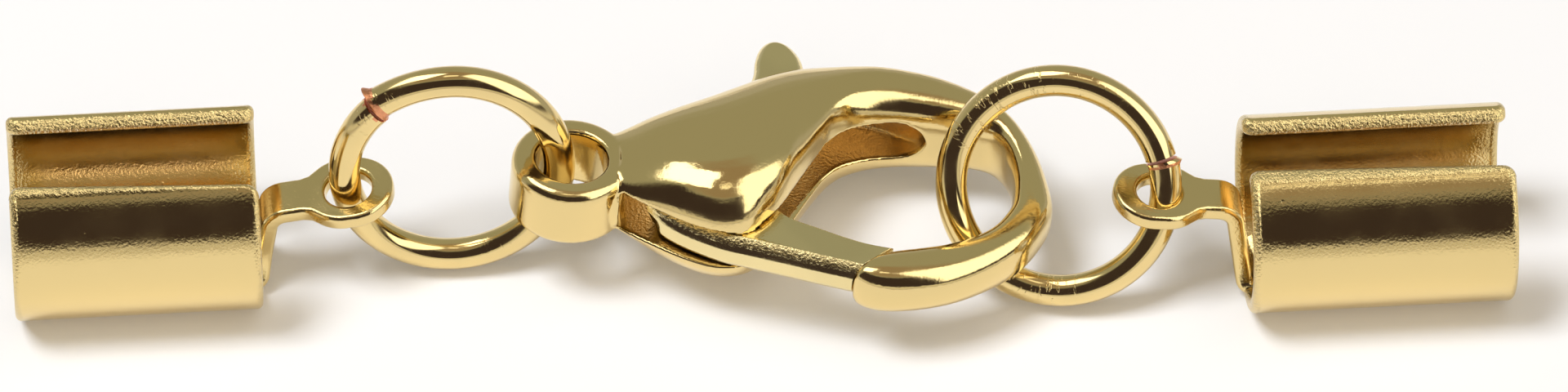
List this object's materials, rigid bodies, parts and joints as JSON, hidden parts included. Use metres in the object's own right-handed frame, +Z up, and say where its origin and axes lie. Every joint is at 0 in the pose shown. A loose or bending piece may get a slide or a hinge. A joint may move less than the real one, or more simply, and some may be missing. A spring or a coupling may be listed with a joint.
{
  "type": "lobster clasp with jump rings and crimp cord ends",
  "caption": "Lobster clasp with a sprung lever, linked by cut jump rings to open crimp channels that close round the ends of a cord.",
  "frame": {"origin": "middle of the whole chain of pieces, on the surface it lies on", "axes": "+X along the chain from the clasp's loop end towards its hook end, +Y across it towards the thumb knob, +Z up"},
  "size_m": [0.0348, 0.0086, 0.0059],
  "materials": {
    "gold_tone": "polished, gold plated"
  },
  "bodies": {
    "finding": {"clasp_body": "gold_tone", "pivot_pin": "gold_tone", "jump_ring_left": "gold_tone", "jump_ring_right": "gold_tone", "cord_end_left": "gold_tone", "cord_end_right": "gold_tone"},
    "lever": {"trigger_lever": "gold_tone"}
  },
  "joints": [
    {"name": "lever_hinge", "type": "hinge", "parent": "finding", "child": "lever", "pos_m": [-0.00189, -0.00089, 0.00251], "axis": [0.075, 0, 0.9972], "range_deg": [0, 24], "stiffness_Nm_per_rad": 0.003, "springref_deg": -17.19}
  ]
}
